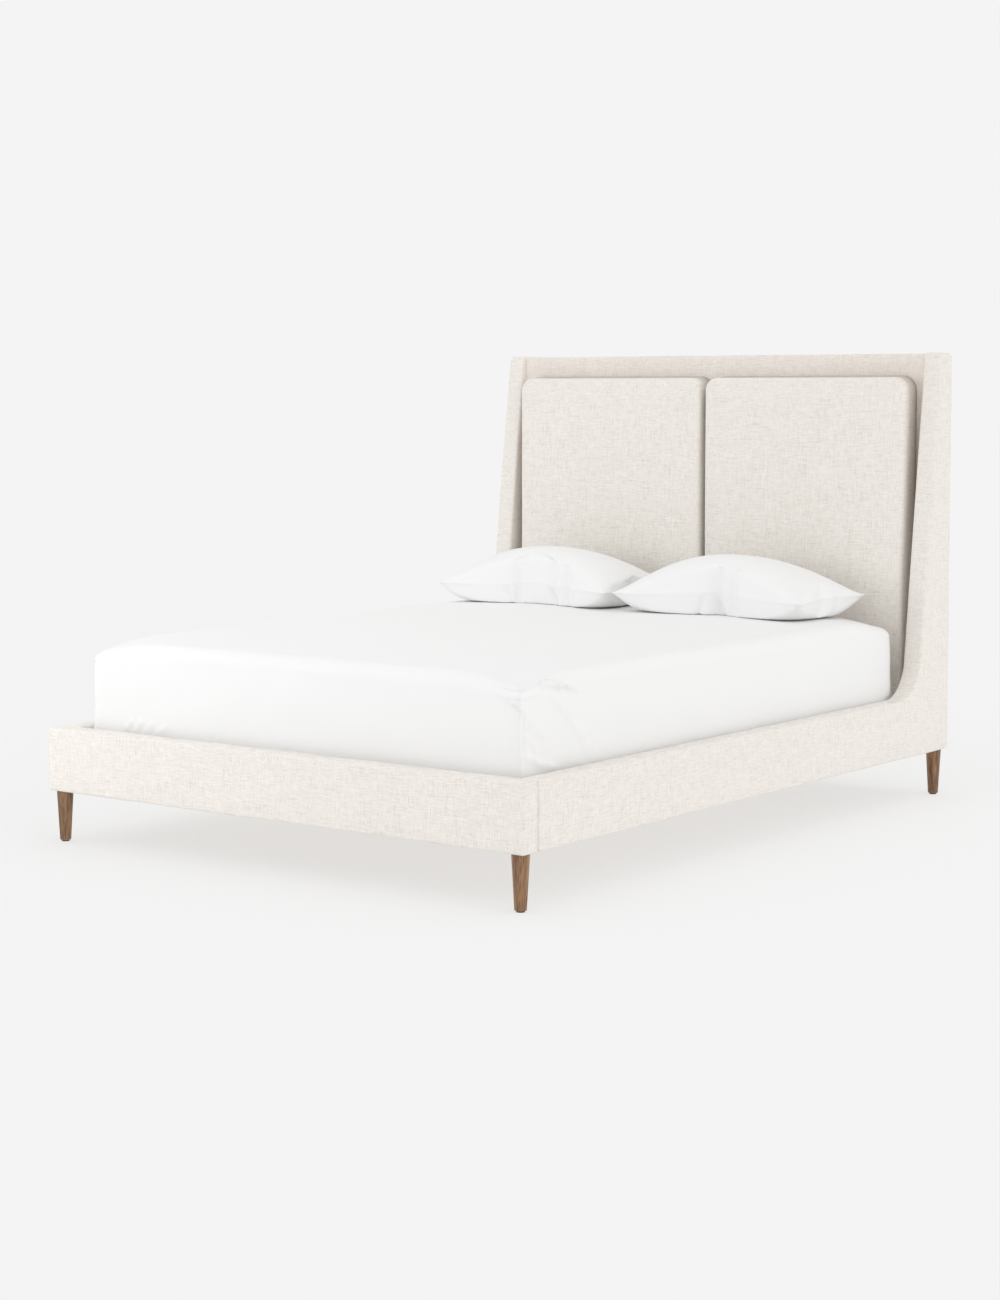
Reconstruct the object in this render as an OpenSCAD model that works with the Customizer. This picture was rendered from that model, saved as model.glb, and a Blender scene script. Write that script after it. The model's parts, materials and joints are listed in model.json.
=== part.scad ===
// Upholstered winged bed with a two-panel headboard, a slatted base, a mattress and two pillows.
// Millimetres. +Z is up and +Y points to the headboard. The origin is on the floor, under the
// middle of the bed.

/* [Overall] */
// Width over the two side panels
bed_w = 1694; // [1380:1:2050]
// Length from the foot rail's face to the headboard's back
bed_l = 2345; // [1940:1:2900]
// Height of the headboard and its wings
bed_h = 1420; // [1050:1:1750]
// Height of the rails' underside above the floor
leg_h = 148; // [120:1:200]

/* [Rails and wings] */
// Height of the rails
rail_h = 184; // [145:1:240]
// Thickness of the foot rail, covered
foot_t = 66; // [60:1:100]
// Thickness of a side panel, covered
side_t = 60; // [43:1:70]
// Depth of a wing at its top
wing_top_d = 81; // [70:1:140]
// How far a wing's front edge comes forward for each unit that it goes down
wing_slope = 0.126; // [0.05:0.001:0.25]
// Radius where a wing runs into its rail
wing_r = 125; // [60:1:180]
// Thickness of the linen with the wadding that is bonded to it
skin_t = 7; // [5:0.5:9]
// Thickness of the linen where it has no wadding
linen_t = 2; // [1.5:0.5:3]
// Depth of the linen's hem on the headboard's back
hem_w = 30; // [20:1:60]

/* [Headboard] */
// Thickness of the headboard between the wings
head_t = 68; // [56:1:90]
// Thickness of the plywood boards
ply_t = 12; // [9:1:18]
// Width of the timbers in the headboard's frame
timber_w = 70; // [45:1:90]
// Gap between a padded panel and the wing beside it
panel_side_gap = 30; // [8:1:60]
// Gap between the two padded panels
panel_gap = 8; // [6:1:40]
// Thickness of a padded panel
panel_t = 86; // [50:1:100]
// Headboard left bare above the padded panels
panel_drop = 70; // [40:1:160]
// Height of the padded panels' lower edge above the floor
panel_low_z = 300; // [260:1:420]
// Corner radius of a padded panel
panel_r = 45; // [20:1:80]

/* [Slatted base] */
// Number of slats
slat_n = 12; // [9:1:12]
// Width of a slat
slat_w = 89; // [65:1:100]
// Thickness of a slat
slat_t = 19; // [15:1:25]
// Depth of the slats' tops below the rails' tops
slat_drop = 70; // [50:1:90]
// Thickness of the cleats that carry the slats
cleat_t = 25; // [20:1:32]
// Height of the cleats
cleat_h = 38; // [30:1:50]
// Width of the centre rail
centre_w = 38; // [30:1:60]
// Height of the centre rail
centre_h = 68; // [50:1:75]

/* [Legs] */
// Diameter of a corner leg at its top
leg_top_d = 48; // [40:1:50]
// Diameter of a corner leg at its foot
leg_foot_d = 32; // [24:1:38]
// Distance of a front leg's axis from the bed's outer faces
leg_inset = 34; // [25:1:34]
// Distance of a rear leg's axis from the headboard's back
leg_rear_inset = 36; // [27:1:70]
// Thickness of the plastic glide under a corner leg
glide_t = 3; // [2:0.5:5]
// Side of a square centre leg
centre_leg_w = 44; // [38:1:60]
// Distance from the foot rail to the front centre leg's middle
centre_leg_front_d = 717.5; // [500:0.5:900]
// Distance from the headboard to the rear centre leg's middle
centre_leg_rear_d = 750; // [500:0.5:900]
// Travel of the levelling foot in a centre leg
level_travel = 20; // [10:1:25]

/* [Bedding] */
// Gap between the mattress and a side panel
mattress_side_gap = 25; // [8:1:60]
// Gap between the mattress and the padded panels
mattress_head_gap = 82; // [10:1:160]
// Thickness of the mattress
mattress_t = 318; // [200:1:390]
// Gap between the foot rail and the mattress
mattress_gap = 35; // [8:1:60]
// Distance from a pillow to the mattress's side
pillow_side = 52; // [10:1:200]
// How far the pair of pillows lies to the left of the middle
pillow_shift = 42; // [0:1:50]
// Depth of a pillow
pillow_d = 430; // [380:1:520]
// Thickness of a pillow
pillow_t = 197; // [120:1:240]

/* [Hidden] */
half_w = bed_w / 2;
half_l = bed_l / 2;
foot_y = -half_l;
back_y = half_l;
rail_z = leg_h + rail_h;
fit = 0.5;          // clearance between pieces that are slid together
step = 1;           // how far a cutting shape runs past what it cuts
skew = atan(wing_slope);

// boards inside the covers
core_x = half_w - side_t + skin_t;          // inner face of a side board
core_z = leg_h + skin_t;                    // underside of every board
foot_in_y = foot_y + foot_t;                // foot rail's inner face, covered
foot_core_in_y = foot_in_y - skin_t;
head_y = back_y - head_t;                   // headboard's front face, covered
flap_z = rail_z - slat_drop + 4;            // lower edge of a cover inside the bed

// slatted base
slat_top_z = rail_z - slat_drop;
slat_z = slat_top_z - slat_t;
cleat_z = slat_z - cleat_h;
slat_len = 2 * (core_x - 3);
slat_end_gap = 22;                          // from an end slat to the foot board or the headboard
slat_first_y = foot_core_in_y + slat_end_gap + slat_w / 2;
slat_last_y = head_y - slat_end_gap - slat_w / 2;
slat_pitch = (slat_last_y - slat_first_y) / (slat_n - 1);

// headboard
frame_t = head_t - ply_t - skin_t - linen_t;
frame_y = back_y - linen_t - frame_t;       // front face of the timber frame
head_top_z = bed_h - skin_t;
panel_top_z = bed_h - panel_drop;
panel_h = panel_top_z - panel_low_z;
panel_y = head_y - panel_t;                 // front face of the padded panels
panel_board_inset = 9;
panel_w = half_w - side_t - panel_side_gap - panel_gap / 2;
middle_z = panel_low_z + 0.55 * panel_h;
stile_low_z = core_z + timber_w;
stile_high_z = head_top_z - timber_w;

// hardware
screw_r = 2.2;
screw_head_r = 4.5;
screw_head_t = 2;
screw_grip = 14;      // how far a screw goes into the second piece of wood
bolt_r = 4;
bolt_head_r = 7.5;
bolt_head_t = 5.3;
bolt_hole_r = 4.3;
insert_r = 6;
insert_bore_r = 4.05;
insert_l = 22;
panel_bolt_r = 3;
hanger_up = 25;       // length of a leg bolt above the leg
hanger_down = 45;     // length of a leg bolt inside the leg
bracket_t = 3;
bracket_leg = 60;
bracket_h = 42;
bracket_z = core_z + 3;
bracket_bolt_l = 30;
cradle_l = 60;

// corner legs
corner_leg_x = half_w - leg_inset;
corner_leg_y = [foot_y + leg_inset, back_y - leg_rear_inset];
leg_round_r = 4;
glide_r = leg_foot_d / 2 - 5;

// centre legs
centre_z = slat_z - centre_h;
centre_leg_y = [foot_in_y + centre_leg_front_d, head_y - centre_leg_rear_d];
level_disc_r = 17;
level_disc_t = 8;
level_stud_r = 3.95;
level_stud_l = level_travel + 20;
level_insert_r = 7;

// bedding
mattress_y = foot_in_y + mattress_gap;
mattress_w = 2 * (half_w - side_t - mattress_side_gap);
mattress_l = panel_y - mattress_head_gap - mattress_y;
mattress_z = slat_top_z;
mattress_top_z = mattress_z + mattress_t;
mattress_r = 60;      // radius of the mattress's upright corners
mattress_wall = 22;   // quilted padding around the mattress's spring space
sheet_t = 2;
sheet_hem = 60;
pillow_overhang = 15;
pillow_y = mattress_y + mattress_l + pillow_overhang - pillow_d;
pillow_gap = 8;
pillow_w = mattress_w / 2 - pillow_side - pillow_gap / 2;
pillow_z = mattress_top_z + 0.5;
pillow_wall = 6;
case_t = 2;
seam_drop = 36;       // a pillow's seam lies this far below its middle

linen = [0.90, 0.87, 0.82];
timber = [0.83, 0.70, 0.50];
plywood = [0.80, 0.66, 0.46];
leg_wood = [0.45, 0.30, 0.19];
steel = [0.70, 0.71, 0.73];
brass = [0.80, 0.66, 0.35];
cotton = [0.97, 0.97, 0.97];
foam = [0.95, 0.92, 0.75];
black = [0.12, 0.12, 0.12];

function slat_name(i) = str("slat_", i < 10 ? "0" : "", i);

// ---- shared shapes ----

// a box given by its lowest and highest corners
module box(low, high) translate(low) cube(high - low);

// draws its children on the right, or mirrored on the left
module side(right) mirror([right ? 0 : 1, 0, 0]) children();

// the place of each corner leg, on both sides
module at_corner_legs() for (sx = [-1, 1], y = corner_leg_y) translate([sx * corner_leg_x, y, 0]) children();

// outline of a side panel, seen from the side and moved in by e; x runs back and y runs up
function wing_x(z, e) = back_y - wing_top_d - (bed_h - z) * wing_slope + e / cos(skew);
function side_outline(e) =
    let (
        r = wing_r + e,
        top = rail_z - e,
        corner_x = wing_x(top, e),
        reach = r * tan((90 - skew) / 2),
        cx = corner_x - reach,
        cz = top + r
    ) concat(
        [[foot_in_y + 1 + e, leg_h + e], [back_y - e, leg_h + e], [back_y - e, bed_h - e],
         [wing_x(bed_h - e, e), bed_h - e]],
        [for (i = [0:10]) let (a = -skew - i * (90 - skew) / 10) [cx + r * cos(a), cz + r * sin(a)]],
        [[foot_in_y + 1 + e, top]]);

// the outline made solid between x0 and x1
module side_slab(e, x0, x1) translate([x0, 0, 0]) rotate([90, 0, 90])
    linear_extrude(x1 - x0) polygon(side_outline(e));

// bores for the corner legs' inserts, in the boards, and for their bolts, through the covers
module leg_insert_holes() at_corner_legs() translate([0, 0, core_z - step])
    cylinder(h = insert_l + step, r = insert_r, $fn = 32);
module leg_bolt_holes() at_corner_legs() cylinder(h = core_z + step, r = bolt_hole_r, $fn = 32);

// a rounded upright slab of a padded panel, from y0 back to y1, moved in by e
module panel_slab(e, y0, y1) {
    x0 = panel_gap / 2 + e;
    x1 = panel_gap / 2 + panel_w - e;
    z0 = panel_low_z + e;
    z1 = panel_top_z - e;
    r = panel_r - e;
    translate([0, y1, 0]) rotate([90, 0, 0]) linear_extrude(y1 - y0) union() {
        translate([x0 + r, z0]) square([x1 - x0 - 2 * r, z1 - z0]);
        translate([x0, z0 + r]) square([x1 - x0, z1 - z0 - 2 * r]);
        for (x = [x0 + r, x1 - r], z = [z0 + r, z1 - r]) translate([x, z]) circle(r = r, $fn = 48);
    }
}

// ---- foot rail ----

module foot_box(e) box([-half_w + e, foot_y + e, leg_h + e], [half_w - e, foot_in_y - e, rail_z - e]);
module foot_rail_board() color(timber) difference() {
    foot_box(skin_t);
    leg_insert_holes();
    bracket_bolt_holes();
}
// the linen leaves the board bare inside the bed, below the slats
module foot_rail_cover() color(linen) difference() {
    foot_box(0);
    foot_box(skin_t);
    box([-core_x - fit, foot_core_in_y, leg_h - step], [core_x + fit, foot_in_y + step, flap_z]);
    leg_bolt_holes();
}

// ---- side panels with wings ----

module side_board() color(timber) difference() {
    side_slab(skin_t, core_x, half_w - skin_t);
    leg_insert_holes();
    bracket_bolt_holes();
    headboard_bolt_places() cylinder(h = insert_l, r = bolt_r, $fn = 32);
    cleat_screw_places() cylinder(h = cleat_t + screw_grip, r = screw_r, $fn = 24);
}
// the linen leaves the board bare behind the headboard and, inside the bed, below the slats
module side_cover() color(linen) difference() {
    side_slab(0, half_w - side_t, half_w);
    side_slab(skin_t, core_x, half_w - skin_t);
    box([half_w - side_t - step, head_y, leg_h - step], [core_x, back_y + step, bed_h + step]);
    box([half_w - side_t - step, foot_y, leg_h - step], [core_x, back_y, flap_z]);
    leg_bolt_holes();
}

// ---- headboard ----

module head_timber(x0, x1, z0, z1) color(timber) difference() {
    box([x0, frame_y, z0], [x1, frame_y + frame_t, z1]);
    for (right = [true, false]) side(right) headboard_bolt_places() translate([0, 0, -timber_w - step])
        cylinder(h = timber_w + 2 * step, r = bolt_hole_r, $fn = 32);
}
module headboard_top_timber() head_timber(-core_x, core_x, stile_high_z, head_top_z);
module headboard_bottom_timber() head_timber(-core_x, core_x, core_z, stile_low_z);
module headboard_middle_timber()
    head_timber(-core_x + timber_w, core_x - timber_w, middle_z - timber_w / 2, middle_z + timber_w / 2);
module headboard_stile_left() head_timber(-core_x, -core_x + timber_w, stile_low_z, stile_high_z);
module headboard_stile_right() head_timber(core_x - timber_w, core_x, stile_low_z, stile_high_z);
module headboard_stile_middle()
    head_timber(-timber_w / 2, timber_w / 2, stile_low_z, middle_z - timber_w / 2);

module headboard_plywood() color(plywood) difference() {
    box([-core_x, head_y + skin_t, core_z], [core_x, frame_y, head_top_z]);
    panel_bolt_holes();
}
// the linen goes over the top and ends in a hem on the back
module headboard_cover() color(linen) difference() {
    box([-core_x, head_y, core_z], [core_x, back_y, bed_h]);
    box([-core_x - step, head_y + skin_t, core_z - step], [core_x + step, back_y - linen_t, head_top_z]);
    box([-core_x - step, frame_y, core_z - step], [core_x + step, back_y + step, bed_h - hem_w]);
    panel_bolt_holes();
}
module headboard_back_cloth() color(linen)
    box([-core_x, back_y - linen_t, core_z], [core_x, back_y, bed_h - hem_w]);

// ---- padded panels ----

module panel_board() color(plywood) difference() {
    panel_slab(panel_board_inset, head_y - ply_t, head_y);
    panel_bolt_holes();
}
module panel_foam() color(foam) panel_slab(linen_t, panel_y + linen_t, head_y - ply_t);
module panel_cover() color(linen) difference() {
    panel_slab(0, panel_y, head_y);
    panel_slab(linen_t, panel_y + linen_t, head_y - ply_t);
    panel_slab(panel_board_inset, head_y - ply_t - step, head_y + step);
}
// six bolts a panel, from inside the headboard into the panel's board
panel_bolt_l = skin_t + 2 * ply_t - 1;
module panel_bolt_places() for (right = [true, false], x = [0.2, 0.8], z = [0.12, 0.42, 0.88])
    side(right) translate([panel_gap / 2 + x * panel_w, frame_y, panel_low_z + z * panel_h])
        rotate([90, 0, 0]) children();
module panel_bolt_holes() panel_bolt_places() translate([0, 0, -step])
    cylinder(h = panel_bolt_l + step, r = panel_bolt_r, $fn = 32);
module panel_bolts() color(steel) panel_bolt_places() union() {
    cylinder(h = panel_bolt_l, r = panel_bolt_r, $fn = 32);
    translate([0, 0, -screw_head_t]) cylinder(h = screw_head_t, r = 2 * panel_bolt_r, $fn = 32);
}

// ---- slatted base ----

// screws through a cleat into its side board, one in every second gap between the slats
module cleat_screw_places() for (i = [0:2:slat_n - 2])
    translate([core_x - cleat_t, slat_first_y + (i + 0.5) * slat_pitch, cleat_z + cleat_h / 2])
        rotate([0, 90, 0]) children();
// screws through the slats' right ends into a cleat, their heads sunk in the slats
module slat_screw_places() for (i = [1:slat_n])
    translate([core_x - cleat_t / 2, slat_y(i), slat_top_z - screw_head_t]) mirror([0, 0, 1]) children();
function slat_y(i) = slat_first_y + (i - 1) * slat_pitch;

module cleat() color(timber) difference() {
    box([core_x - cleat_t, foot_core_in_y + fit, cleat_z], [core_x, head_y - fit, slat_z]);
    cleat_screw_places() translate([0, 0, -step]) cylinder(h = cleat_t + 2 * step, r = screw_r, $fn = 24);
    slat_screw_places() cylinder(h = slat_t + screw_grip, r = screw_r, $fn = 24);
}
module base_screws() color(steel) for (right = [true, false]) side(right) {
    cleat_screw_places() union() {
        cylinder(h = cleat_t + screw_grip, r = screw_r, $fn = 24);
        translate([0, 0, -screw_head_t]) cylinder(h = screw_head_t, r = screw_head_r, $fn = 24);
    }
    slat_screw_places() union() {
        cylinder(h = slat_t - screw_head_t + screw_grip, r = screw_r, $fn = 24);
        translate([0, 0, -screw_head_t]) cylinder(h = screw_head_t, r = screw_head_r, $fn = 24);
    }
}
module slat(i) color(timber) difference() {
    box([-slat_len / 2, slat_y(i) - slat_w / 2, slat_z], [slat_len / 2, slat_y(i) + slat_w / 2, slat_top_z]);
    for (right = [true, false]) side(right) slat_screw_places() {
        cylinder(h = slat_t, r = screw_r, $fn = 24);
        translate([0, 0, -screw_head_t - step]) cylinder(h = screw_head_t + step, r = screw_head_r, $fn = 24);
    }
}
module centre_rail() color(timber) box([-centre_w / 2, foot_core_in_y + bracket_t + fit, centre_z],
    [centre_w / 2, head_y - bracket_t - fit, slat_z]);

// a steel cradle that holds one end of the centre rail, its back plate against y
module cradle(y, dir) translate([0, y, 0]) mirror([0, dir > 0 ? 0 : 1, 0]) difference() {
    w = centre_w / 2 + fit;
    box([-w - bracket_t, 0, centre_z - bracket_t], [w + bracket_t, cradle_l, slat_z - bracket_t]);
    box([-w, bracket_t, centre_z], [w, cradle_l + step, slat_z]);
}
module centre_rail_cradles() color(steel) {
    cradle(foot_core_in_y, 1);
    cradle(head_y, -1);
}

// ---- corner legs ----

module corner_leg(sx, y) color(leg_wood) translate([sx * corner_leg_x, y, 0]) difference() {
    arc_x = leg_foot_d / 2 - leg_round_r;
    rotate_extrude($fn = 64) polygon(concat(
        [[0, glide_t], [arc_x, glide_t]],
        [for (a = [-75:15:0]) [arc_x + leg_round_r * cos(a), glide_t + leg_round_r * (1 + sin(a))]],
        [[leg_top_d / 2, leg_h], [0, leg_h]]));
    translate([0, 0, leg_h - hanger_down]) cylinder(h = hanger_down + step, r = bolt_r, $fn = 32);
}
module leg_front_left() corner_leg(-1, corner_leg_y[0]);
module leg_front_right() corner_leg(1, corner_leg_y[0]);
module leg_rear_left() corner_leg(-1, corner_leg_y[1]);
module leg_rear_right() corner_leg(1, corner_leg_y[1]);
module leg_bolts() color(steel) at_corner_legs() translate([0, 0, leg_h - hanger_down])
    cylinder(h = hanger_down + hanger_up, r = bolt_r, $fn = 32);
module leg_inserts() color(brass) at_corner_legs() translate([0, 0, core_z]) difference() {
    cylinder(h = insert_l, r = insert_r, $fn = 32);
    translate([0, 0, -step]) cylinder(h = insert_l + 2 * step, r = insert_bore_r, $fn = 32);
}
module leg_glides() color(black) at_corner_legs() cylinder(h = glide_t, r = glide_r, $fn = 48);

// ---- centre legs with levelling feet ----

module centre_leg(y) color(timber) translate([0, y, 0]) difference() {
    w = centre_leg_w / 2;
    box([-w, -w, level_disc_t], [w, w, centre_z]);
    translate([0, 0, level_disc_t - step]) cylinder(h = insert_l + step, r = level_insert_r, $fn = 32);
    translate([0, 0, level_disc_t]) cylinder(h = level_stud_l + 3, r = bolt_hole_r + fit, $fn = 32);
}
module centre_leg_front() centre_leg(centre_leg_y[0]);
module centre_leg_rear() centre_leg(centre_leg_y[1]);
module centre_leg_inserts() color(brass) for (y = centre_leg_y) translate([0, y, level_disc_t]) difference() {
    cylinder(h = insert_l, r = level_insert_r, $fn = 32);
    translate([0, 0, -step]) cylinder(h = insert_l + 2 * step, r = insert_bore_r, $fn = 32);
}
module levelling_foot(y) color(black) translate([0, y, 0]) union() {
    cylinder(h = level_disc_t, r = level_disc_r, $fn = 48);
    cylinder(h = level_disc_t + level_stud_l, r = level_stud_r, $fn = 32);
}
module levelling_foot_front() levelling_foot(centre_leg_y[0]);
module levelling_foot_rear() levelling_foot(centre_leg_y[1]);

// ---- brackets and bolts ----

// an angle bracket in each front corner, between the foot board and a side board
module corner_brackets() color(steel) for (right = [true, false]) side(right) difference() {
    z1 = bracket_z + bracket_h;
    box([core_x - bracket_leg, foot_core_in_y, bracket_z], [core_x, foot_core_in_y + bracket_leg, z1]);
    box([core_x - bracket_leg - step, foot_core_in_y + bracket_t, bracket_z - step],
        [core_x - bracket_t, foot_core_in_y + bracket_leg + step, z1 + step]);
    bracket_bolt_holes();
}
module bracket_bolt_places() for (d = [20, 44]) {
    z = bracket_z + bracket_h / 2;
    translate([core_x - d, foot_core_in_y + bracket_t, z]) rotate([90, 0, 0]) children();
    translate([core_x - bracket_t, foot_core_in_y + d, z]) rotate([0, 90, 0]) children();
}
module bracket_bolt_holes() for (right = [true, false]) side(right) bracket_bolt_places()
    translate([0, 0, -step]) cylinder(h = bracket_bolt_l + step, r = bolt_r, $fn = 32);
module bracket_bolts() color(steel) for (right = [true, false]) side(right) bracket_bolt_places() union() {
    cylinder(h = bracket_bolt_l, r = bolt_r, $fn = 32);
    translate([0, 0, -bolt_head_t]) cylinder(h = bolt_head_t, r = bolt_head_r, $fn = 6);
}

// bolts from the headboard's stiles into the side boards
module headboard_bolt_places() for (z = [0.2, 0.5, 0.85])
    translate([core_x, frame_y + frame_t / 2, core_z + z * (bed_h - core_z)]) rotate([0, 90, 0]) children();
module headboard_bolts() color(steel) for (right = [true, false]) side(right) headboard_bolt_places()
    union() {
        translate([0, 0, -timber_w]) cylinder(h = timber_w + insert_l, r = bolt_r, $fn = 32);
        translate([0, 0, -timber_w - bolt_head_t]) cylinder(h = bolt_head_t, r = bolt_head_r, $fn = 6);
    }

// ---- bedding ----

// a block with rounded upright corners between z0 and z1, its sides moved in by e
module mattress_block(e, z0, z1) translate([0, 0, z0]) linear_extrude(z1 - z0) union() {
    w = mattress_w / 2 - e;
    y0 = mattress_y + e;
    y1 = mattress_y + mattress_l - e;
    r = mattress_r - e;
    translate([-w + r, y0]) square([2 * (w - r), y1 - y0]);
    translate([-w, y0 + r]) square([2 * w, y1 - y0 - 2 * r]);
    for (x = [-w + r, w - r], y = [y0 + r, y1 - r]) translate([x, y]) circle(r = r, $fn = 48);
}
module mattress() color(cotton) difference() {
    mattress_block(sheet_t, mattress_z, mattress_top_z - sheet_t);
    mattress_block(mattress_wall, mattress_z + mattress_wall, mattress_top_z - mattress_wall);
    difference() {
        mattress_block(-step, mattress_z - step, mattress_z + sheet_t);
        mattress_block(sheet_hem - step, mattress_z - 2 * step, mattress_z + 2 * sheet_t);
    }
}
module fitted_sheet() color(cotton) difference() {
    mattress_block(0, mattress_z, mattress_top_z);
    mattress_block(sheet_t, mattress_z + sheet_t, mattress_top_z - sheet_t);
    mattress_block(sheet_hem - step, mattress_z - step, mattress_z + 2 * sheet_t);
}

// a plump block with a thin seam all round, its surface moved in by e
module pillow_body(e) {
    w = pillow_w / 2 - e;
    d = pillow_d / 2 - e;
    t = pillow_t / 2 - e;
    seam_r = max(1, 9 - e);
    translate([pillow_gap / 2 + pillow_w / 2, pillow_y + pillow_d / 2, pillow_z + pillow_t / 2]) hull() {
        for (sx = [-1, 1], sy = [-1, 1]) translate([sx * (w - seam_r), sy * (d - seam_r), -seam_drop])
            sphere(r = seam_r, $fn = 16);
        scale([0.86 * w / t, 0.84 * d / t, 1]) sphere(r = t, $fn = 32);
    }
}
module pillow() color(cotton) difference() {
    pillow_body(case_t);
    pillow_body(case_t + pillow_wall);
}
module pillowcase() color(cotton) difference() {
    pillow_body(0);
    pillow_body(case_t);
}

// ---- parts ----

foot_rail_board();
foot_rail_cover();
side(false) side_board();  // side_board_left
side(true) side_board();  // side_board_right
side(false) side_cover();  // side_cover_left
side(true) side_cover();  // side_cover_right
headboard_top_timber();
headboard_middle_timber();
headboard_bottom_timber();
headboard_stile_left();
headboard_stile_middle();
headboard_stile_right();
headboard_plywood();
headboard_cover();
headboard_back_cloth();
side(false) panel_board();  // panel_board_left
side(true) panel_board();  // panel_board_right
side(false) panel_foam();  // panel_foam_left
side(true) panel_foam();  // panel_foam_right
side(false) panel_cover();  // panel_cover_left
side(true) panel_cover();  // panel_cover_right
panel_bolts();
side(false) cleat();  // cleat_left
side(true) cleat();  // cleat_right
centre_rail();
centre_rail_cradles();
base_screws();
for (i = [1:slat_n]) slat(i);
centre_leg_front();
centre_leg_rear();
levelling_foot_front();
levelling_foot_rear();
leg_front_left();
leg_front_right();
leg_rear_left();
leg_rear_right();
leg_bolts();
leg_glides();
leg_inserts();
centre_leg_inserts();
corner_brackets();
bracket_bolts();
headboard_bolts();
mattress();
fitted_sheet();
translate([-pillow_shift, 0, 0]) side(false) pillow();  // pillow_left
translate([-pillow_shift, 0, 0]) side(true) pillow();  // pillow_right
translate([-pillow_shift, 0, 0]) side(false) pillowcase();  // pillowcase_left
translate([-pillow_shift, 0, 0]) side(true) pillowcase();  // pillowcase_right
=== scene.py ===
import json
import math

import bmesh
import bpy
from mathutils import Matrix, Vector, noise


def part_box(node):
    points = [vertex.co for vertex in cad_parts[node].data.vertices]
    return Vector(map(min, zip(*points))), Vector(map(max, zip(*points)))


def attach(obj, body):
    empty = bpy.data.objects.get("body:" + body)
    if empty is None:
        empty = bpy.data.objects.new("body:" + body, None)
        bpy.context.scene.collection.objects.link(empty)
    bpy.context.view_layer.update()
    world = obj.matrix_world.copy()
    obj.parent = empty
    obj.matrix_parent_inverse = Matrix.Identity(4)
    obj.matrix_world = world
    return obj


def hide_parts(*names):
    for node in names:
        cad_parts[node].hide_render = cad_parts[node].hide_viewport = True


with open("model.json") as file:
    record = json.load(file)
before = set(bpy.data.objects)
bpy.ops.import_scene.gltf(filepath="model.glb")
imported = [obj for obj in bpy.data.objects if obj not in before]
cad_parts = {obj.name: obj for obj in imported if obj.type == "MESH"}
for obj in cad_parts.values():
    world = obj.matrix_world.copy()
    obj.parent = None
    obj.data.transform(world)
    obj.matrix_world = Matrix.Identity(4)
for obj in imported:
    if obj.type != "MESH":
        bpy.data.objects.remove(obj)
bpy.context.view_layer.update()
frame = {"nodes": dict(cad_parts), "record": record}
nodes = frame["nodes"]

# ---- sizes, in metres ----
FOOT_LOW, FOOT_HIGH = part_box("foot_rail_cover")
HEAD_LOW, HEAD_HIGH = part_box("headboard_cover")
RAIL_TOP = FOOT_HIGH.z
SLAT_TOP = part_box("slat_01")[1].z
# where the covers end: inside the rails, behind the headboard's front, down its back, and inside the
# foot rail's corners
FLAP = SLAT_TOP + 0.004
TUCK = HEAD_LOW.y + 0.004
HEAD_HEM = 0.046
CORNER_WRAP = 0.054
# the wing: depth at the top, lean of its front edge, and the curve that joins it to the rail
WING_TOP_DEPTH = 0.081
WING_SLOPE = 0.126
WING_RADIUS = 0.125
WING_DOME = 0.006
WING_DROP = 0.003
WING_SWELL = 0.003
# linen covers: thickness with the wadding, rounding, unevenness, and spacing of the cuts
LINEN = 0.006
EDGE_RADIUS = 0.009
RAIL_WAVE = 0.0016
RAIL_WAVE_SIZE = 0.16
HEAD_WAVE = 0.0014
HEAD_WAVE_SIZE = 0.2
CLOTH_CELL = 0.045
HEAD_CELL = 0.05
OFF_EDGE = 0.015
OFF_ROUNDING = 0.012
# padded panels: rounding of the outline and of the front, spacing of the cuts, and filling
PANEL_CORNER = 0.048
PANEL_ROLL = 0.014
PANEL_CELL = 0.018
PANEL_SLACK = 0.0005
PANEL_HELD = 0.02
PANEL_FILL = 2.2
PANEL_FILL_FRAMES = 14
PANEL_FILL_CAP = 0.006
# fitted sheet, and the mattress's ticking inside it
SHEET = 0.002
SHEET_HEM = 0.060
TICK_INSET = 0.009
# studio
BACKDROP = 0.905
FLOOR_GLOW = 0.627
FLOOR_SHADE = 0.29
FLOOR_SIZE = 160
EYE = (4.394, -6.0925, 1.302)
EYE_TILT = 86.49
EYE_TURN = 37.09
EYE_LENS = 68.41
EYE_SHIFT = (0.0245, -0.0831)
COOL_WHITE = (0.94, 0.97, 1.0)


# ---- camera, light and floor ----
def camera():
    bpy.ops.object.camera_add(location=EYE)
    eye = bpy.context.object
    eye.name = "camera"
    eye.rotation_euler = (math.radians(EYE_TILT), 0, math.radians(EYE_TURN))
    eye.data.sensor_width = 36
    eye.data.lens = EYE_LENS
    eye.data.shift_x = EYE_SHIFT[0]
    eye.data.shift_y = EYE_SHIFT[1]
    eye.data.clip_start = 0.1
    eye.data.clip_end = 200
    bpy.context.scene.camera = eye


def wide_light(name, towards, power, spread):
    """Light from a whole side of the studio, without a hard shadow."""
    bpy.ops.object.light_add(type="SUN", location=towards)
    light = bpy.context.object
    light.name = name
    light.data.energy = power
    light.data.angle = math.radians(spread)
    light.rotation_euler = Vector(towards).to_track_quat("Z", "Y").to_euler()


def soft_box(name, place, aim, size, power, floor):
    """A soft box that lights the bed and leaves the floor even."""
    bpy.ops.object.light_add(type="AREA", location=place)
    light = bpy.context.object
    light.name = name
    light.data.shape = "SQUARE"
    light.data.size = size
    light.data.color = COOL_WHITE
    light.data.energy = power
    light.rotation_euler = (Vector(place) - Vector(aim)).to_track_quat("Z", "Y").to_euler()
    unlit = bpy.data.collections.new(name + "_unlit")
    unlit.objects.link(floor)
    light.light_linking.receiver_collection = unlit
    unlit.collection_objects[0].light_linking.link_state = "EXCLUDE"


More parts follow.
